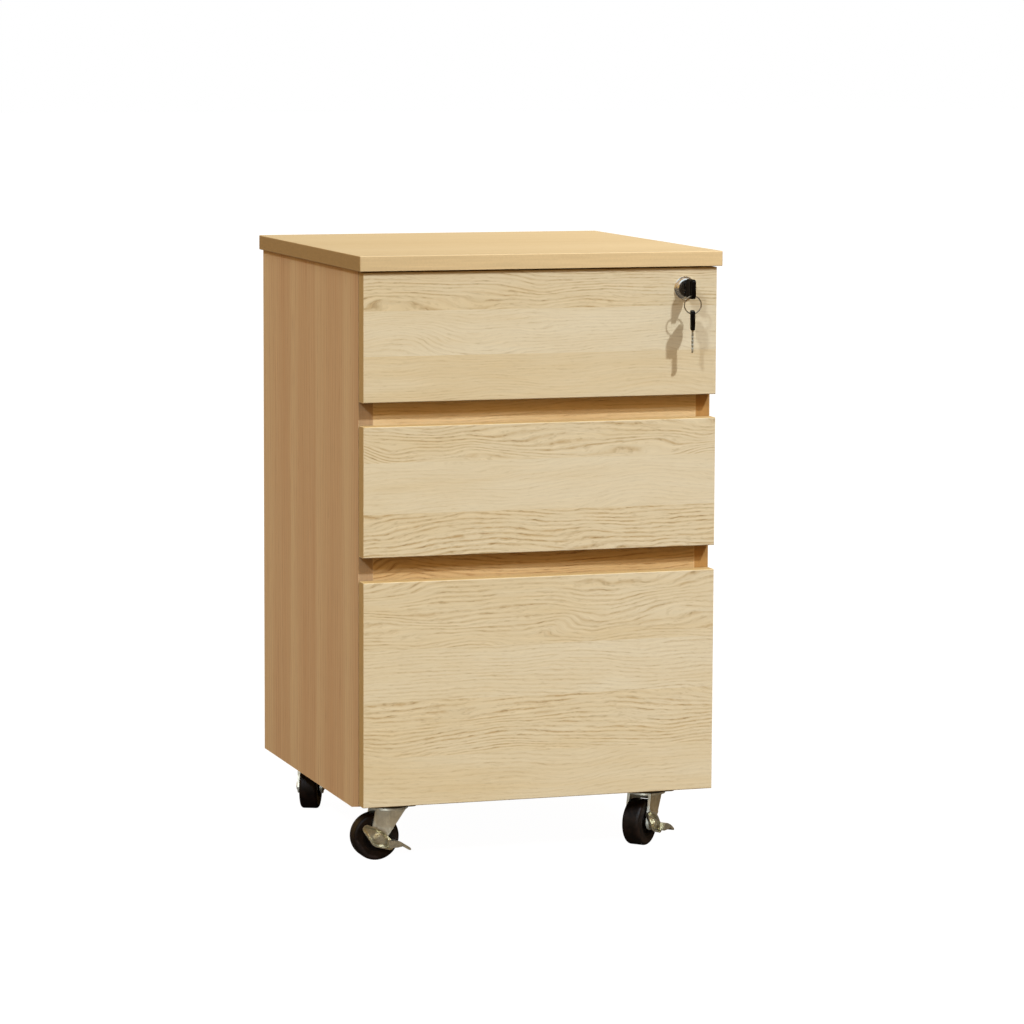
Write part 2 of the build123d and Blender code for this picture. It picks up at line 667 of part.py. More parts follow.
def fork():
    """A pressed steel fork: a crown on the lower race, two creased legs and an apron."""
    with BuildPart() as piece:
        with BuildSketch(Plane.XY.offset(CROWN_UNDERSIDE)):
            Circle(RACE_RADIUS)
            with Locations(((LEG_FRONT_X + LEG_BACK_X) / 2, 0)):
                Rectangle(LEG_BACK_X - LEG_FRONT_X, 2 * LEG_OUTSIDE)
        extrude(amount=CROWN_STEEL)
        for side in SIDES:
            leg_plane = AXLE_PLANE.offset(-side * LEG_INSIDE)
            with BuildSketch(leg_plane):
                Circle(AXLE_BOSS)
                top = CROWN_TOP - WHEEL_RADIUS
                with Locations(((LEG_FRONT_X + LEG_BACK_X) / 2 + TRAIL, top - CROWN_STEEL / 2)):
                    Rectangle(LEG_BACK_X - LEG_FRONT_X, CROWN_STEEL)
                make_hull()
            extrude(amount=-side * (LEG_OUTSIDE - LEG_INSIDE))
            facet_from = WHEEL_RADIUS + AXLE_BOSS + 2.0
            for edge_x, fall in ((LEG_FRONT_X, FRONT_FALL), (LEG_BACK_X, BACK_FALL)):
                with BuildSketch(Plane.XY.offset(facet_from)):
                    with BuildLine():
                        Polyline(
                            (RIDGE_X, side * LEG_OUTSIDE),
                            (edge_x, side * (LEG_OUTSIDE + 1)),
                            (edge_x, side * (LEG_OUTSIDE - fall)),
                            close=True,
                        )
                    make_face()
                extrude(amount=CROWN_UNDERSIDE - facet_from, mode=Mode.SUBTRACT)
        low_x, low_z = APRON_LOW
        with BuildSketch(Plane.XZ):
            with BuildLine():
                Polyline(
                    (LEG_BACK_X, CROWN_UNDERSIDE),
                    (low_x, low_z),
                    (low_x - CROWN_STEEL, low_z),
                    (LEG_BACK_X - 2 * CROWN_STEEL, CROWN_UNDERSIDE),
                    close=True,
                )
            make_face()
        extrude(amount=LEG_INSIDE, both=True)
        with BuildSketch(AXLE_PLANE):
            Circle(AXLE_RADIUS + RUNNING_FIT)
        extrude(amount=LEG_OUTSIDE, both=True, mode=Mode.SUBTRACT)
        with BuildSketch(Plane.XY.offset(CROWN_UNDERSIDE)):
            Circle(KINGPIN_RADIUS + RUNNING_FIT)
        extrude(amount=CROWN_STEEL, mode=Mode.SUBTRACT)
    return piece


def axle(braked):
    """The axle pin: a low rivet head on the far leg, and a nut or a second head on the near one."""
    near = TRAY_FROM + PEDAL_STEEL + GAP if braked else LEG_OUTSIDE
    with BuildPart() as piece:
        with BuildSketch(AXLE_PLANE.offset(-LEG_OUTSIDE)):
            Circle(AXLE_RADIUS)
        extrude(amount=LEG_OUTSIDE + near + (AXLE_END if braked else 0))
        with BuildSketch(AXLE_PLANE.offset(-LEG_OUTSIDE)):
            Circle(PIN_HEAD_RADIUS)
        extrude(amount=-PIN_HEAD_THICK, taper=PIN_HEAD_TAPER)
        with BuildSketch(AXLE_PLANE.offset(near)):
            if braked:
                RegularPolygon(NUT_HALF, 6, major_radius=False)
            else:
                Circle(PIN_HEAD_RADIUS)
        if braked:
            extrude(amount=NUT_THICKNESS)
        else:
            extrude(amount=PIN_HEAD_THICK, taper=PIN_HEAD_TAPER)
    return piece


def tyre():
    """A solid rubber tyre with a rounded tread."""
    with BuildPart() as piece:
        with BuildSketch(AXLE_PLANE.offset(-WHEEL_WIDTH / 2)):
            Circle(WHEEL_RADIUS)
            Circle(TYRE_INNER, mode=Mode.SUBTRACT)
        extrude(amount=WHEEL_WIDTH)
        outer_edges = piece.edges().filter_by(GeomType.CIRCLE).group_by(SortBy.RADIUS)[-1]
        fillet(outer_edges, TREAD_ROUND)
    return piece


def hub():
    """A moulded wheel centre: rim, dished web and a boss bored for the axle."""
    half = WHEEL_WIDTH / 2
    with BuildPart() as piece:
        with BuildSketch(Plane((-TRAIL, 0, WHEEL_RADIUS), x_dir=(0, 1, 0), z_dir=(-1, 0, 0))):
            with BuildLine():
                Polyline(
                    (-half - 0.6, AXLE_RADIUS + RUNNING_FIT),
                    (-half - 0.6, 6.0),
                    (-half + 3.0, 7.5),
                    (-half + 3.0, 11.5),
                    (-half + 0.6, 12.5),
                    (-half + 0.6, TYRE_INNER),
                    (half - 0.6, TYRE_INNER),
                    (half - 0.6, 12.5),
                    (half - 3.0, 11.5),
                    (half - 3.0, 7.5),
                    (half + 0.6, 6.0),
                    (half + 0.6, AXLE_RADIUS + RUNNING_FIT),
                    close=True,
                )
            make_face()
        revolve(axis=Axis((-TRAIL, 0, WHEEL_RADIUS), (0, 1, 0)))
    return piece


def brake_lever():
    """A foot brake: a pressed dish with a flared rim around the axle's nut, and a pedal."""
    tray_plane = AXLE_PLANE.offset(TRAY_FROM)
    outside = tray_outline(tray_plane, 0)
    inside = tray_outline(tray_plane.offset(PEDAL_STEEL), -TRAY_WALL)
    with BuildPart() as piece:
        extrude(outside.sketch, amount=TRAY_DEPTH, taper=-TRAY_FLARE)
        with BuildSketch(tray_plane):
            with BuildLine():
                Polyline(
                    (9.0, -1.0),
                    (17.6, -2.4),
                    (25.0, -5.4),
                    (32.5, -10.2),
                    (34.2, -13.0),
                    (31.0, -12.6),
                    (24.0, -8.4),
                    (19.0, -9.4),
                    (9.0, -9.4),
                    close=True,
                )
            make_face()
        extrude(amount=PEDAL_WIDTH)
        tip_edges = piece.edges().filter_by(Axis.Y).group_by(Axis.X)[-1]
        fillet(tip_edges, PEDAL_TIP_ROUND)
        extrude(inside.sketch, amount=TRAY_DEPTH, taper=-TRAY_FLARE, mode=Mode.SUBTRACT)
        with BuildSketch(AXLE_PLANE):
            Circle(AXLE_RADIUS + RUNNING_FIT)
        extrude(amount=2 * LEG_OUTSIDE, mode=Mode.SUBTRACT)
    return piece


def tray_outline(plane, grow):
    """The brake dish's leaf shape: widest at the axle, with a raised and a lowered end."""
    with BuildSketch(plane) as leaf:
        Circle(6.4 + grow)
        with Locations((-13.5, 11.0)):
            Circle(1.6 + grow)
        with Locations((12.0, -8.0)):
            Circle(1.8 + grow)
        make_hull()
    return leaf


# ---------------------------------------------------------------- all the pieces
def make_carcass():
    keep(top_panel(), "top_panel")
    keep(side_board(-1), "left_side_panel")
    keep(side_board(1), "right_side_panel")
    keep(floor_panel(), "bottom_panel")
    low = (-INNER_HALF, BACK_Y - BOARD, BODY_BOTTOM)
    high = (INNER_HALF, BACK_Y, TOP_UNDERSIDE)
    keep(carcass_board(low, high), "back_panel")
    for name, low_z in zip(("upper_front_rail", "lower_front_rail"), RAIL_BOTTOMS):
        low = (-INNER_HALF, CARCASS_Y, low_z)
        high = (INNER_HALF, CARCASS_Y + BOARD, low_z + RAIL_HEIGHT)
        keep(carcass_board(low, high), name)
    keep(cam_fittings(), "cam_fittings")
    keep(lock_strike(), "lock_strike")
    keep(outer_slides(), "slide_outer_members")


def make_drawers():
    for index, slide_z in enumerate(SLIDE_HEIGHTS):
        number = index + 1
        keep(drawer_front(index), f"drawer_{number}_front")
        keep(drawer_sides(index), f"drawer_{number}_side_boards")
        keep(drawer_back(index), f"drawer_{number}_back")
        keep(drawer_floor(index), f"drawer_{number}_floor")
        keep(inner_slides(slide_z), f"drawer_{number}_slide_members")
        keep(middle_slides(slide_z), f"slide_{number}_middle_members")


def make_lock_and_keys():
    keep(lock_body(), "lock_body")
    keep(lock_plug(), "lock_plug")
    keep(lock_cam(), "lock_cam")
    keep(cam_screw(), "lock_cam_screw")
    keep(key_head(KEY_PLANE), "key_head")
    keep(key_blade(KEY_PLANE), "key_blade")
    keep(key_ring(), "key_ring")
    keep(key_head(SPARE_PLANE), "spare_key_head")
    keep(key_blade(SPARE_PLANE), "spare_key_blade")


def make_casters():
    keep(caster_plates(), "caster_plates")
    keep(plate_screws(), "caster_plate_screws")
    brake = brake_lever()
    plain_axle = axle(braked=False)
    brake_axle = axle(braked=True)
    shapes = {"fork": fork(), "tyre": tyre(), "hub": hub()}
    for name, place, turn in zip(CASTER_NAMES, CASTER_PLACES, CASTER_TURNS):
        for shape_name, shape in shapes.items():
            keep(placed(shape, place, turn), f"{name}_{shape_name}")
        braked = name.startswith("front")
        keep(placed(brake_axle if braked else plain_axle, place, turn), f"{name}_axle")
        if braked:
            keep(placed(brake, place, turn), f"{name}_brake")


os.makedirs("parts", exist_ok=True)
make_carcass()
make_drawers()
make_lock_and_keys()
make_casters()
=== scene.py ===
import math

import bpy
from mathutils import Matrix, Vector


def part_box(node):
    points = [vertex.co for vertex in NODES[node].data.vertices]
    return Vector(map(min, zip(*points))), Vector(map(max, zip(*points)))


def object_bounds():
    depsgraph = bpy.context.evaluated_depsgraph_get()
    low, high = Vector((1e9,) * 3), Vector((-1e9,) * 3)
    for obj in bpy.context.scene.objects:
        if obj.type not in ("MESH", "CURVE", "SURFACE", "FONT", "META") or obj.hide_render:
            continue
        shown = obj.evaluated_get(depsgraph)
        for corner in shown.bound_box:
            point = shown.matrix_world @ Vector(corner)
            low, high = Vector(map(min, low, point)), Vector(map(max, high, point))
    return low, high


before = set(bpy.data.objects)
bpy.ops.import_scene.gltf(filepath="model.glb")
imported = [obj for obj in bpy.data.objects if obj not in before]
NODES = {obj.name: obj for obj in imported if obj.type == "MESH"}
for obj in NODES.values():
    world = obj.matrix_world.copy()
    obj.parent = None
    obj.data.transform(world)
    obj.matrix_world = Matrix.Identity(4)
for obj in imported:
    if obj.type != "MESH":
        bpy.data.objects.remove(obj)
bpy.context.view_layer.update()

# A rolling pedestal cabinet of printed wood boards: materials, camera, light and floor around
# the CAD frame, in metres.
MM = 0.001


# ------------------------------------------------------------------ material graphs
class Graph:
    """Builds one material's nodes with short calls. Every call returns an output socket."""

    def __init__(self, name):
        self.material = bpy.data.materials.new(name)
        self.material.use_nodes = True
        self.tree = self.material.node_tree
        self.tree.nodes.clear()
        self.coordinates = self.node("ShaderNodeTexCoord")
        self.place = self.coordinates.outputs["Object"]
        self.normal = self.coordinates.outputs["Normal"]

    def node(self, kind, **settings):
        made = self.tree.nodes.new(kind)
        for key, value in settings.items():
            setattr(made, key, value)
        return made

    def feed(self, socket, value):
        if isinstance(value, bpy.types.NodeSocket):
            self.tree.links.new(value, socket)
        else:
            socket.default_value = value

    def math(self, operation, *values, clamp=False):
        made = self.node("ShaderNodeMath", operation=operation, use_clamp=clamp)
        for socket, value in zip(made.inputs, values):
            self.feed(socket, value)
        return made.outputs[0]

    def axes(self, vector):
        made = self.node("ShaderNodeSeparateXYZ")
        self.feed(made.inputs[0], vector)
        return made.outputs

    def vector(self, x, y, z):
        made = self.node("ShaderNodeCombineXYZ")
        for socket, value in zip(made.inputs, (x, y, z)):
            self.feed(socket, value)
        return made.outputs[0]

    def stretch(self, vector, scale, offset=(0, 0, 0)):
        made = self.node("ShaderNodeMapping")
        self.feed(made.inputs["Vector"], vector)
        made.inputs["Location"].default_value = offset
        made.inputs["Scale"].default_value = scale
        return made.outputs[0]

    def noise(self, vector, scale=1.0, detail=2.0, roughness=0.5, distortion=0.0):
        made = self.node("ShaderNodeTexNoise")
        self.feed(made.inputs["Vector"], vector)
        made.inputs["Scale"].default_value = scale
        made.inputs["Detail"].default_value = detail
        made.inputs["Roughness"].default_value = roughness
        made.inputs["Distortion"].default_value = distortion
        return made.outputs[0]

    def cells(self, vector):
        made = self.node("ShaderNodeTexVoronoi", feature="F1")
        self.feed(made.inputs["Vector"], vector)
        made.inputs["Scale"].default_value = 1.0
        return made.outputs[0]

    def ramp(self, factor, *stops, smooth=False):
        """A value ramp. Each stop is a place and a grey level or a colour."""
        made = self.node("ShaderNodeValToRGB")
        made.color_ramp.interpolation = "EASE" if smooth else "LINEAR"
        elements = made.color_ramp.elements
        while len(elements) < len(stops):
            elements.new(0.5)
        for element, (place, level) in zip(elements, stops):
            element.position = place
            grey = isinstance(level, (int, float))
            element.color = (level, level, level, 1) if grey else (*level, 1)
        self.feed(made.inputs[0], factor)
        return made.outputs[0]

    def remap(self, value, low, high, to_low=0.0, to_high=1.0):
        made = self.node("ShaderNodeMapRange")
        for socket, given in zip(made.inputs, (value, low, high, to_low, to_high)):
            self.feed(socket, given)
        return made.outputs[0]

    def mix(self, factor, first, second, blend="MIX"):
        made = self.node("ShaderNodeMix", data_type="RGBA", blend_type=blend)
        sockets = (made.inputs[0], made.inputs[6], made.inputs[7])
        for socket, value in zip(sockets, (factor, first, second)):
            if isinstance(value, tuple) and len(value) == 3:
                value = (*value, 1.0)
            self.feed(socket, value)
        return made.outputs[2]

    def tint(self, colour, factor):
        """The colour made lighter or darker by a factor socket around 1."""
        made = self.node("ShaderNodeVectorMath", operation="SCALE")
        self.feed(made.inputs[0], colour)
        self.feed(made.inputs["Scale"], factor)
        return made.outputs[0]

    def bump(self, height, distance, strength=1.0):
        made = self.node("ShaderNodeBump")
        made.inputs["Strength"].default_value = strength
        made.inputs["Distance"].default_value = distance
        self.feed(made.inputs["Height"], height)
        return made.outputs[0]

    def surface(self, colour, roughness, normal=None, **sockets):
        """The closing shader. Sockets given by name are set directly on it."""
        shader = self.node("ShaderNodeBsdfPrincipled")
        self.feed(shader.inputs["Base Color"], (*colour, 1) if isinstance(colour, tuple) else colour)
        self.feed(shader.inputs["Roughness"], roughness)
        if normal is not None:
            self.feed(shader.inputs["Normal"], normal)
        for name, value in sockets.items():
            label = name.replace("_", " ").title().replace("Ior", "IOR")
            shader.inputs[label].default_value = value
        output = self.node("ShaderNodeOutputMaterial")
        self.tree.links.new(shader.outputs[0], output.inputs["Surface"])
        return self.material


# ------------------------------------------------------------------ wood
def edge_closeness(graph, node, width):
    """0 on a board's faces, rising to 1 on its arrises: places within width of two faces."""
    low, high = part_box(node)
    near = []
    for axis, place in enumerate(graph.axes(graph.place)):
        middle = (low[axis] + high[axis]) / 2
        half = (high[axis] - low[axis]) / 2
        offset = graph.math("ABSOLUTE", graph.math("SUBTRACT", place, middle))
        near.append(graph.remap(offset, half - width, half))
    first, second, third = near
    pairs = [
        graph.math("MULTIPLY", first, second),
        graph.math("MULTIPLY", second, third),
        graph.math("MULTIPLY", first, third),
    ]
    return graph.math("MAXIMUM", graph.math("MAXIMUM", pairs[0], pairs[1]), pairs[2], clamp=True)


def stave_plan(graph, node, across, staves, soft):
    """Which strip of the board a place is in, as (figure strength, depth of tone, wander).

    Each stave is (where it ends, in millimetres from the board's low edge, then those three).
    Glued strips meet in straight lines, and those of a soft plan melt into each other."""
    low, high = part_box(node)
    width = high[across] - low[across]
    place = graph.remap(graph.axes(graph.place)[across], low[across], high[across])
    starts = [0.0] + [end * MM / width for end, *_ in staves[:-1]]
    stops = [(start, tuple(stave[1:])) for start, stave in zip(starts, staves)]
    made = graph.ramp(place, *stops)
    made.node.color_ramp.interpolation = "EASE" if soft else "CONSTANT"
    return graph.axes(made)


# How far the growth lines of a strip with wander 1 drift across it, and how far they ripple, as a
# share of their spacing.
DRIFT_REACH = 0.105
RIPPLE_SHARE = 1.15
# The dark line and the pale early wood across one ring: (place in the ring, strength).
LINE_SHAPE = ((0.0, 0.0), (0.42, 0.10), (0.74, 1.0), (0.88, 0.55), (1.0, 0.0))
GLEAM_SHAPE = ((0.02, 0.0), (0.22, 1.0), (0.46, 0.0))
GLEAM_STRENGTH = 0.10


def wood_figure(graph, u, v, seed, plan, pitch, long, soft):
    """Growth lines of sawn wood. Returns (broad, lines, gleam, dashes, fibres), each from 0 to 1.

    The lines wander in v along the grain, and the dashes and fibres follow them. The gleam is the
    pale early wood beside each line."""
    strength, tone, wander = plan
    # Each glued strip is cut from its own wood: its figure is read at another depth of the noise.
    by_strength, by_tone = graph.math("MULTIPLY", strength, 37.0), graph.math("MULTIPLY", tone, 61.0)
    strip = graph.math("ADD", by_strength, by_tone)
    cut = 0.0 if soft else strip
    place = graph.vector(u, v, cut)
    drift = graph.noise(graph.stretch(place, (5.0 / long, 13, 1), seed), 1.0, 1.5, 0.45, 0.5)
    ripple = graph.noise(graph.stretch(place, (24 / long, 70, 1), seed), 1.0, 2.0, 0.55, 0.3)
    reach = graph.math("MULTIPLY", wander, DRIFT_REACH)
    warp = graph.math("MULTIPLY", graph.math("SUBTRACT", drift, 0.5), reach)
    small = graph.math("MULTIPLY", graph.math("SUBTRACT", ripple, 0.5), pitch * RIPPLE_SHARE)
    ring = graph.math("ADD", v, graph.math("ADD", warp, small))
    saw = graph.math("FRACT", graph.math("DIVIDE", ring, pitch))
    lines = graph.ramp(saw, *LINE_SHAPE, smooth=True)
    flowing = graph.vector(u, ring, cut)
    fade = graph.noise(graph.stretch(flowing, (16 / long, 170, 1), seed), 1.0, 2.5, 0.6)
    shown = graph.remap(fade, 0.36, 0.60, 0.04, 1.0)
    lines = graph.math("MULTIPLY", lines, shown)
    gleam = graph.ramp(saw, *GLEAM_SHAPE, smooth=True)
    gleam = graph.math("MULTIPLY", gleam, shown)
    broken = graph.noise(graph.stretch(flowing, (75 / long, 330, 1), seed), 1.0, 2.0, 0.6)
    lines = graph.math("MULTIPLY", lines, graph.remap(broken, 0.38, 0.58, 0.40, 1.10))
    dashes = graph.noise(graph.stretch(flowing, (95 / long, 760, 1), seed), 1.0, 2.0, 0.55)
    dashes = graph.ramp(dashes, (0.55, 0.0), (0.68, 1.0))
    fibres = graph.noise(graph.stretch(flowing, (26 / long, 1000, 1), seed), 1.0, 4.0, 0.7)
    broad = graph.noise(graph.stretch(place, (5 / long, 38, 1), seed), 1.0, 3.0, 0.6, 0.4)
    return broad, lines, gleam, dashes, fibres


def banding_scale(along, through):
    """Noise scales that draw banding's faint streaks along the board's edges."""
    scale = [60, 60, 60]
    scale[along] = 14
    scale[through] = 420
    return tuple(scale)


# How far in from a board's arrises the paler edge reaches: partly wear, partly a painted highlight.
ARRIS_WEAR_AND_HIGHLIGHT_WIDTH = 1.3 * MM


def wood(name, node, along, across, seed, look, staves, pitch=4.4, long=1.0, painted_light_gradient=None):
    """Printed wood on a board's broad faces, with plain banding of another tone on its edges.

    The painted light gradient is a pair of tints, for the low and the high end of the grain: painted
    light that makes one end lighter. Pitch is the spacing of the growth lines in millimetres, and long
    is how much the figure is drawn out along them."""
    graph = Graph(name)
    axes = graph.axes(graph.place)
    soft = long > 1.0
    plan = stave_plan(graph, node, across, staves, soft)
    figure = wood_figure(graph, axes[along], axes[across], seed, plan, pitch * MM, long, soft)
    broad, lines, gleam, dashes, fibres = figure
    strength, depth, _ = plan
    tone = graph.math("ADD", depth, graph.remap(broad, 0.3, 0.7, -0.30, 0.30), clamp=True)
    colour = graph.mix(tone, look["pale"], look["deep"])
    line_mask = graph.math("MULTIPLY", lines, strength)
    colour = graph.mix(line_mask, colour, look["streak"])
    dash_share = graph.math("ADD", graph.math("MULTIPLY", line_mask, 0.85), 0.06)
    dash_share = graph.math("ADD", dash_share, graph.math("MULTIPLY", strength, 0.20))
    dash_mask = graph.math("MULTIPLY", dashes, dash_share)
    colour = graph.mix(dash_mask, colour, tuple(0.70 * c for c in look["streak"]))
    colour = graph.tint(colour, graph.remap(fibres, 0.3, 0.7, 0.945, 1.055))
    glow = graph.math("MULTIPLY", gleam, graph.math("MULTIPLY", strength, GLEAM_STRENGTH))
    colour = graph.tint(colour, graph.math("ADD", glow, 0.99))

    cloud = graph.noise(graph.stretch(graph.place, (30, 30, 30), seed), 1.0, 3.0, 0.6)
    speck = graph.noise(graph.stretch(graph.place, (420, 420, 420), seed), 1.0, 2.0, 0.6)
    through = 3 - along - across
    facing = graph.axes(graph.normal)
    # Edges that face along the grain take the look's ends tone; on the maple top it is darker, painted
    # shade on its side edges.
    end_shade_mask = graph.remap(graph.math("ABSOLUTE", facing[along]), 0.60, 0.80)
    band = graph.mix(end_shade_mask, look["band"], look.get("ends", look["band"]))
    drawn = graph.stretch(graph.place, banding_scale(along, through), seed)
    streaks = graph.noise(drawn, 1.0, 3.0, 0.6)
    band = graph.tint(band, graph.remap(streaks, 0.3, 0.7, 0.94, 1.06))
    band = graph.tint(band, graph.remap(speck, 0.3, 0.7, 0.97, 1.03))
    broad_face = graph.remap(graph.math("ABSOLUTE", facing[through]), 0.60, 0.80)
    colour = graph.mix(broad_face, band, colour)
    # Painted light: the colour is multiplied by a gradient along the grain, so the board grows lighter
    # towards one end, as if lit more from that side.
    if painted_light_gradient:
        low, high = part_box(node)
        end = graph.remap(axes[along], low[along], high[along])
        colour = graph.mix(1.0, colour, graph.mix(end, *painted_light_gradient), "MULTIPLY")
    # The arrises are paler in clouds: partly wear, partly a painted highlight where the edges catch the
    # light.
    arris = edge_closeness(graph, node, ARRIS_WEAR_AND_HIGHLIGHT_WIDTH)
    wear_and_highlight = graph.math("MULTIPLY", arris, graph.remap(cloud, 0.35, 0.65, 0.08, 0.34))
    colour = graph.mix(wear_and_highlight, colour, tuple(min(1.0, 1.22 * c) for c in look["pale"]))

    pores = graph.math("MULTIPLY", dashes, 0.5)
    relief = graph.math("SUBTRACT", graph.math("MULTIPLY", fibres, 0.6), pores)
    relief = graph.math("SUBTRACT", relief, graph.math("MULTIPLY", line_mask, 0.4))
    roughness = graph.remap(fibres, 0.3, 0.7, 0.48, 0.62)
    normal = graph.bump(relief, 0.07 * MM, 0.6)
    return graph.surface(colour, roughness, normal, specular_ior_level=0.32)


# The tones of each printed wood: its ground from pale to deep, its lines and its edge banding.
OAK = dict(pale=(0.705, 0.585, 0.380), deep=(0.655, 0.500, 0.275), streak=(0.440, 0.275, 0.105),
           band=(0.600, 0.390, 0.150))
# The rails are deeper and more orange than the fronts: partly their own tone, partly painted shade for
# the finger gaps they sit back in.
RAIL_OAK_AND_GAP_SHADE = dict(pale=(0.700, 0.510, 0.265), deep=(0.540, 0.340, 0.140), streak=(0.340, 0.170, 0.050),
            band=(0.600, 0.390, 0.150))
# The maple's ends tone is painted shade: the top's left and right edges are darker than its front edge.
MAPLE = dict(pale=(0.615, 0.445, 0.235), deep=(0.580, 0.412, 0.208), streak=(0.500, 0.335, 0.158),
             band=(0.635, 0.450, 0.222), ends=(0.480, 0.295, 0.115))
BEECH = dict(pale=(0.815, 0.570, 0.305), deep=(0.705, 0.430, 0.218), streak=(0.620, 0.320, 0.165),
             band=(0.400, 0.250, 0.125))
BIRCH = dict(pale=(0.760, 0.650, 0.480), deep=(0.700, 0.580, 0.400), streak=(0.560, 0.430, 0.260),
             band=(0.600, 0.470, 0.300))

BEECH_TONES = {
    "left_side_panel": BEECH,
    "right_side_panel": dict(BEECH, band=(0.420, 0.215, 0.060)),
    "back_panel": BEECH,
}

# The glued strips of the oak boards, upwards: the height where each ends, in millimetres, then
# the strength of its figure, the depth of its tone and how far its growth lines wander.
OAK_STAVES = {
    "drawer_1_front": ((48, 0.20, 0.72, 0.40), (95, 0.22, 0.16, 0.52), (136, 0.66, 0.62, 0.55)),
    "drawer_2_front": ((45, 0.82, 0.56, 0.46), (99, 0.14, 0.24, 0.45), (137, 0.70, 0.48, 0.80)),
    "drawer_3_front": ((52, 0.24, 0.66, 0.30), (111, 0.78, 0.60, 0.50), (166, 0.36, 0.32, 0.42),
                       (238, 0.56, 0.60, 0.62)),
}
# The lower rail's strong, deep strip is partly its own figure, partly painted shade in its finger gap.
RAIL_STAVES = {
    "upper_front_rail": ((50, 0.35, 0.30, 0.30),),
    "lower_front_rail": ((50, 0.85, 0.85, 0.50),),
}
# Painted light along the grain, multiplied into the colour: the fronts grow a little lighter and bluer
# towards their right ends, and the top much lighter, as where the light falls more strongly.
OAK_PAINTED_LIGHT = ((0.99, 0.98, 0.97), (1.02, 1.03, 1.07))
TOP_PAINTED_LIGHT = ((0.97, 0.97, 0.98), (1.14, 1.14, 1.16))
LINE_PITCH = {"drawer_1_front": 3.5, "drawer_2_front": 4.3, "drawer_3_front": 4.6}
GRAIN_SEEDS = {
    "drawer_1_front": (3.1, 0.4, 2.2),
    "drawer_2_front": (7.7, 5.2, 1.3),
    "drawer_3_front": (4.2, 3.3, 6.1),
    "upper_front_rail": (5.5, 2.7, 8.4),
    "lower_front_rail": (9.3, 6.6, 3.9),
}


def veneer_strips(width, count, phase):
    """Narrow strips of slightly different tone across a plain board, for boards without a plan.

    Width is how far the strips reach, in millimetres, and phase sets their tones and widths."""
    strips = []
    for index in range(count):
        end = width * (index + 1 + 0.3 * math.sin(2.3 * index + phase)) / count
        tone = 0.5 + 0.42 * math.sin(4.1 * index + phase)
        strips.append((end, 0.42 + 0.16 * math.cos(3.3 * index + phase), tone, 0.30))
    return tuple(strips)


def dress(node, material):
    """Give a CAD node one material."""
    data = NODES[node].data
    data.materials.clear()
    data.materials.append(material)


VENEER_PITCH = 9.0  # millimetres between the growth lines of the beech boards
VENEER_LENGTH = 3.0  # how far their figure is drawn out along the grain
RAIL_PITCH = 4.0
DRAWER_PARTS = (("side_boards", 1, 2), ("back", 0, 2), ("floor", 0, 1))  # with grain axes


def dress_boards():
    """Grain axes of a board, along and across it: 0 is X, 1 is Y and 2 is Z."""
    for node, staves in OAK_STAVES.items():
        seed, pitch = GRAIN_SEEDS[node], LINE_PITCH[node]
        dress(node, wood(f"oak_{node}", node, 0, 2, seed, OAK, staves, pitch, painted_light_gradient=OAK_PAINTED_LIGHT))
    for node, staves in RAIL_STAVES.items():
        dress(node, wood(f"oak_{node}", node, 0, 2, GRAIN_SEEDS[node], RAIL_OAK_AND_GAP_SHADE, staves, RAIL_PITCH))
    beech = [
        ("left_side_panel", 1, (2.0, 4.4, 1.0), (400, 11, 1.0)),
        ("right_side_panel", 1, (3.0, 4.4, 1.0), (400, 11, 2.0)),
        ("back_panel", 0, (6.4, 1.2, 3.3), (368, 8, 2.5)),
    ]
    for node, across, seed, layout in beech:
        look, strips = BEECH_TONES[node], veneer_strips(*layout)
        name = f"beech_{node}"
        dress(node, wood(name, node, 2, across, seed, look, strips, VENEER_PITCH, VENEER_LENGTH))
    strips = veneer_strips(410, 4, 0.4)
    seed = (8.8, 0.9, 5.1)
    dress("top_panel", wood("maple_top", "top_panel", 0, 1, seed, MAPLE, strips, 6.0, 2.0, TOP_PAINTED_LIGHT))
    node, strips = "bottom_panel", veneer_strips(360, 5, 0.9)
    dress(node, wood(f"birch_{node}", node, 0, 1, (1.1, 2.2, 3.3), BIRCH, strips))
    for number in (1, 2, 3):
        for part, along, across in DRAWER_PARTS:
            node = f"drawer_{number}_{part}"
            strips = veneer_strips(200, 3, number + along)
            seed = (1.7 * number, 2.5, 3.1 * along)
            dress(node, wood(f"birch_{node}", node, along, across, seed, BIRCH, strips, 5.0, 2.0))


# ------------------------------------------------------------------ metal, plastic, rubber
def plated_steel(name, tint, roughness, metallic=1.0, cloud=90, dulled=0.72):
    """Zinc-plated pressed steel: cloudy plating and drawing marks.

    Cloud is how many clouds there are to a metre, and dulled is how bright they are."""
    graph = Graph(name)
    clouds = graph.noise(graph.stretch(graph.place, (cloud, cloud, cloud)), 1.0, 3.0, 0.6, 0.5)
    grains = graph.cells(graph.stretch(graph.place, (700, 700, 700)))
    scratches = graph.noise(graph.stretch(graph.place, (300, 2600, 120)), 1.0, 2.0, 0.6)
    colour = graph.mix(graph.remap(clouds, 0.35, 0.65), tint, tuple(dulled * c for c in tint))
    colour = graph.tint(colour, graph.remap(scratches, 0.3, 0.7, 0.93, 1.06))
    rough = graph.remap(clouds, 0.3, 0.7, roughness, roughness + 0.14)
    rough = graph.math("ADD", rough, graph.math("MULTIPLY", grains, 0.03))
    normal = graph.bump(graph.math("ADD", scratches, clouds), 0.03 * MM, 0.5)
    return graph.surface(colour, rough, normal, metallic=metallic)


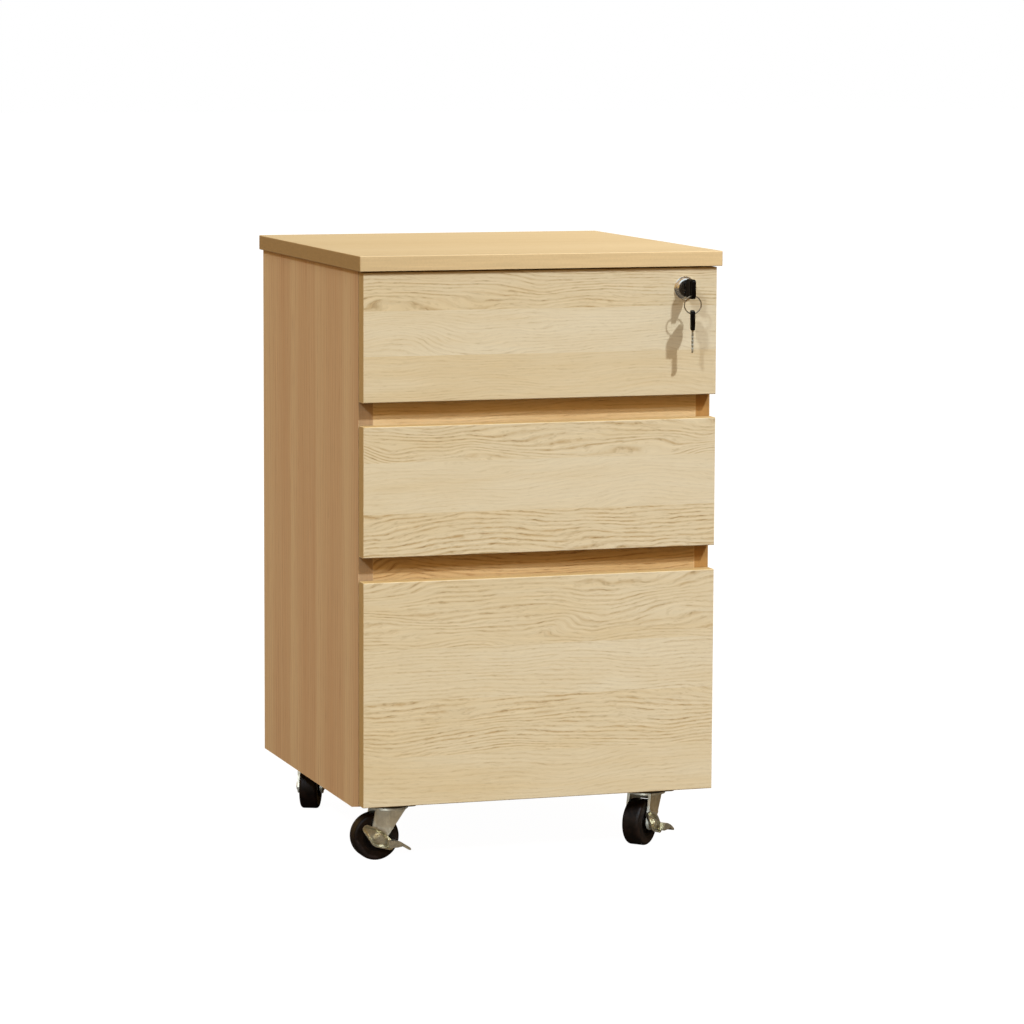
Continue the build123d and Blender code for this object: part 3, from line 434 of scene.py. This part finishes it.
def polished_metal(name, tint, roughness):
    """Bright nickel plating with faint handling marks."""
    graph = Graph(name)
    marks = graph.noise(graph.stretch(graph.place, (240, 240, 240)), 1.0, 4.0, 0.6, 0.6)
    fine = graph.noise(graph.stretch(graph.place, (3000, 900, 3000)), 1.0, 1.0, 0.5)
    colour = graph.mix(graph.remap(marks, 0.4, 0.7), tint, tuple(0.86 * c for c in tint))
    rough = graph.remap(marks, 0.35, 0.7, roughness, roughness + 0.12)
    normal = graph.bump(graph.math("ADD", marks, fine), 0.008 * MM, 0.4)
    return graph.surface(colour, rough, normal, metallic=1.0)


def cast_alloy(name, tint):
    """Die-cast zinc with a grainy skin."""
    graph = Graph(name)
    skin = graph.noise(graph.stretch(graph.place, (1400, 1400, 1400)), 1.0, 3.0, 0.7)
    clouds = graph.noise(graph.stretch(graph.place, (200, 200, 200)), 1.0, 2.0, 0.5)
    colour = graph.mix(graph.remap(clouds, 0.35, 0.65), tint, tuple(0.7 * c for c in tint))
    normal = graph.bump(skin, 0.05 * MM, 0.5)
    return graph.surface(colour, graph.remap(skin, 0.3, 0.7, 0.38, 0.55), normal, metallic=1.0)


def moulded_plastic(name, colour, roughness, specular=0.14):
    """Moulded plastic with a fine spark-eroded grain and rubbed, paler and duller patches."""
    graph = Graph(name)
    grain = graph.noise(graph.stretch(graph.place, (2200, 2200, 2200)), 1.0, 2.0, 0.6)
    rubbed = graph.noise(graph.stretch(graph.place, (70, 70, 70)), 1.0, 3.0, 0.6)
    tone = graph.mix(graph.remap(rubbed, 0.45, 0.75), colour, tuple(1.9 * c + 0.001 for c in colour))
    rough = graph.remap(rubbed, 0.35, 0.7, roughness, roughness + 0.16)
    normal = graph.bump(grain, 0.03 * MM, 0.6)
    return graph.surface(tone, rough, normal, specular_ior_level=specular)


def worn_rubber(name, colour):
    """A solid rubber tyre: dusty on the tread, a little brown where it has rubbed."""
    graph = Graph(name)
    dust = graph.noise(graph.stretch(graph.place, (160, 160, 160)), 1.0, 4.0, 0.7, 0.4)
    fine = graph.noise(graph.stretch(graph.place, (1800, 1800, 1800)), 1.0, 2.0, 0.6)
    brown = tuple(c * f for c, f in zip(colour, (4.0, 2.9, 2.2)))
    tone = graph.mix(graph.remap(dust, 0.42, 0.72), colour, brown)
    rough = graph.remap(dust, 0.3, 0.7, 0.42, 0.66)
    normal = graph.bump(graph.math("ADD", fine, dust), 0.05 * MM, 0.5)
    return graph.surface(tone, rough, normal, specular_ior_level=0.22)


def dress_hardware():
    bright = plated_steel("bright_zinc", (0.66, 0.67, 0.69), 0.26)
    dull = plated_steel("pressed_zinc", (0.84, 0.83, 0.72), 0.36, 0.6)
    dark_steel = plated_steel("brake_steel", (0.96, 0.92, 0.72), 0.24, 0.95, 170, 0.55)
    wire = polished_metal("ring_wire", (0.34, 0.30, 0.23), 0.30)
    nickel = polished_metal("nickel_plate", (0.90, 0.90, 0.88), 0.15)
    key_steel = polished_metal("key_steel", (0.52, 0.49, 0.40), 0.40)
    plated = ["slide_outer_members", "lock_strike", "lock_cam", "lock_cam_screw", "caster_plate_screws"]
    for number in (1, 2, 3):
        plated += [f"drawer_{number}_slide_members", f"slide_{number}_middle_members"]
    for node in plated:
        dress(node, bright)
    # The caster plates are near black: painted shade, for plates that sit in shadow under the cabinet.
    dress("caster_plates", plated_steel("plate_steel_in_painted_shade", (0.12, 0.10, 0.07), 0.50, 0.5))
    dress("cam_fittings", cast_alloy("cast_zinc", (0.55, 0.55, 0.54)))
    dress("lock_body", nickel)
    dress("lock_plug", nickel)
    for node in ("key_blade", "spare_key_blade"):
        dress(node, key_steel)
    dress("key_ring", wire)
    black = moulded_plastic("black_plastic", (0.002, 0.0012, 0.001), 0.34, 0.05)
    for node in ("key_head", "spare_key_head"):
        dress(node, black)
    hub = moulded_plastic("hub_plastic", (0.006, 0.004, 0.003), 0.5)
    rubber = worn_rubber("tyre_rubber", (0.005, 0.003, 0.002))
    braked, unbraked = ("front_left", "front_right"), ("rear_left", "rear_right")
    for corner in braked + unbraked:
        dress(f"{corner}_fork", dull)
        dress(f"{corner}_axle", dark_steel)
        dress(f"{corner}_hub", hub)
        dress(f"{corner}_tyre", rubber)
    for corner in braked:
        dress(f"{corner}_brake", dark_steel)


# ------------------------------------------------------------------ camera, light and floor
# The camera stands to the left of the cabinet, a little above its top, and looks down.
CAMERA_YAW = 18.19
CAMERA_PITCH = 7.02
CAMERA_ROLL = 0.25
CAMERA_FROM_FRONT = Vector((-1.3613, -4.0437, 0.2530))  # from the middle of the top's front edge
CAMERA_LENS = 143.57
# The surroundings' colours and where, from straight down to straight up, they begin and end.
HORIZON, HORIZON_END = (0.60, 0.36, 0.12), 0.35
ZENITH, ZENITH_START = (0.82, 0.92, 0.97), 0.92
COOL_LIGHT = (0.73, 0.85, 1.0)
FLOOR_HALF = 30.0
FLOOR_TONE = (0.10, 0.08, 0.06)
FLOOR_GLOW = 0.985  # brightness of the floor as the camera sees it


def make_camera():
    low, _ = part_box("drawer_1_front")
    _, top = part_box("top_panel")
    data = bpy.data.cameras.new("camera")
    data.lens = CAMERA_LENS
    data.sensor_width = 36.0
    data.clip_end = 60.0
    camera = bpy.data.objects.new("camera", data)
    bpy.context.scene.collection.objects.link(camera)
    camera.location = Vector((0, low.y, top.z)) + CAMERA_FROM_FRONT
    yaw, pitch, roll = (math.radians(a) for a in (CAMERA_YAW, CAMERA_PITCH, CAMERA_ROLL))
    turn = Matrix.Rotation(-yaw, 3, "Z") @ Matrix.Rotation(math.pi / 2 - pitch, 3, "X")
    camera.rotation_euler = (turn @ Matrix.Rotation(roll, 3, "Z")).to_euler()
    bpy.context.scene.camera = camera


def add_lamp(name, kind, power, colour, azimuth, elevation):
    """A lamp and the direction it stands in. Azimuth 0 is in front, and positive is right."""
    data = bpy.data.lights.new(name, kind)
    data.energy = power
    data.color = colour
    lamp = bpy.data.objects.new(name, data)
    bpy.context.scene.collection.objects.link(lamp)
    a, e = math.radians(azimuth), math.radians(elevation)
    towards = Vector((math.sin(a) * math.cos(e), -math.cos(a) * math.cos(e), math.sin(e)))
    lamp.rotation_euler = towards.to_track_quat("Z", "Y").to_euler()
    return lamp, towards


def make_sun(name, azimuth, elevation, strength, angle, colour):
    """A distant lamp, whose angle softens its shadows."""
    lamp, _ = add_lamp(name, "SUN", strength, colour, azimuth, elevation)
    lamp.data.angle = math.radians(angle)


def make_panel_light(name, azimuth, elevation, distance, power, size, colour, only=()):
    """A rectangular studio lamp that faces the cabinet. Given pieces, it lights them only."""
    lamp, towards = add_lamp(name, "AREA", power, colour, azimuth, elevation)
    lamp.data.shape = "RECTANGLE"
    lamp.data.size, lamp.data.size_y = size
    low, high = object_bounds()
    aim = Vector((0, low[1], low[2] if only else (low[2] + high[2]) / 2))
    lamp.location = aim + distance * towards
    if only:
        receivers = bpy.data.collections.new(f"{name}_receivers")
        for piece in only:
            receivers.objects.link(piece)
        lamp.light_linking.receiver_collection = receivers


def make_world():
    """Studio surroundings: a cool white ceiling that turns warm and dimmer towards the horizon.

    The camera itself sees plain white, as behind a cut-out."""
    world = bpy.data.worlds.new("studio")
    bpy.context.scene.world = world
    world.use_nodes = True
    tree = world.node_tree
    tree.nodes.clear()
    direction = tree.nodes.new("ShaderNodeTexCoord")
    axes = tree.nodes.new("ShaderNodeSeparateXYZ")
    height = tree.nodes.new("ShaderNodeValToRGB")
    height.color_ramp.interpolation = "EASE"
    ends = ((HORIZON_END, HORIZON), (ZENITH_START, ZENITH))
    for element, (place, colour) in zip(height.color_ramp.elements, ends):
        element.position = place
        element.color = (*colour, 1)
    fill = tree.nodes.new("ShaderNodeBackground")
    seen = tree.nodes.new("ShaderNodeBackground")
    seen.inputs["Color"].default_value = (1, 1, 1, 1)
    rays = tree.nodes.new("ShaderNodeLightPath")
    choose = tree.nodes.new("ShaderNodeMixShader")
    output = tree.nodes.new("ShaderNodeOutputWorld")
    tree.links.new(direction.outputs["Generated"], axes.inputs[0])
    tree.links.new(axes.outputs["Z"], height.inputs[0])
    tree.links.new(height.outputs[0], fill.inputs["Color"])
    tree.links.new(rays.outputs["Is Camera Ray"], choose.inputs[0])
    tree.links.new(fill.outputs[0], choose.inputs[1])
    tree.links.new(seen.outputs[0], choose.inputs[2])
    tree.links.new(choose.outputs[0], output.inputs[0])


def make_lights():
    make_sun("key_light", 26.0, 44.0, 2.80, 2.5, (0.76, 0.87, 1.0))
    make_sun("second_light", -40.0, 33.0, 1.12, 4.0, COOL_LIGHT)
    make_panel_light("soft_box", -36.0, 34.0, 5.0, 12.0, (2.2, 1.6), COOL_LIGHT)
    forks = [NODES[name] for name in NODES if name.endswith("_fork")]
    make_panel_light("fork_light", -42.0, 3.0, 2.5, 25.0, (1.2, 0.5), (0.88, 0.96, 1.0), forks)
    make_world()
    bpy.context.scene.view_settings.view_transform = "Standard"


def make_floor():
    """A plain white floor that runs into the backdrop. It throws back little light, and warm."""
    mesh = bpy.data.meshes.new("floor")
    half = FLOOR_HALF
    corners = [(-half, -half, 0), (half, -half, 0), (half, half, 0), (-half, half, 0)]
    mesh.from_pydata(corners, [], [(0, 1, 2, 3)])
    floor = bpy.data.objects.new("floor", mesh)
    bpy.context.scene.collection.objects.link(floor)
    graph = Graph("pale_floor")
    diffuse = graph.node("ShaderNodeBsdfDiffuse")
    diffuse.inputs["Color"].default_value = (*FLOOR_TONE, 1)
    glow = graph.node("ShaderNodeEmission")
    rays = graph.node("ShaderNodeLightPath")
    seen = graph.math("MULTIPLY", rays.outputs["Is Camera Ray"], FLOOR_GLOW)
    graph.feed(glow.inputs["Strength"], seen)
    both = graph.node("ShaderNodeAddShader")
    output = graph.node("ShaderNodeOutputMaterial")
    graph.feed(both.inputs[0], diffuse.outputs[0])
    graph.feed(both.inputs[1], glow.outputs[0])
    graph.feed(output.inputs["Surface"], both.outputs[0])
    mesh.materials.append(graph.material)


dress_boards()
dress_hardware()
make_camera()
make_lights()
make_floor()
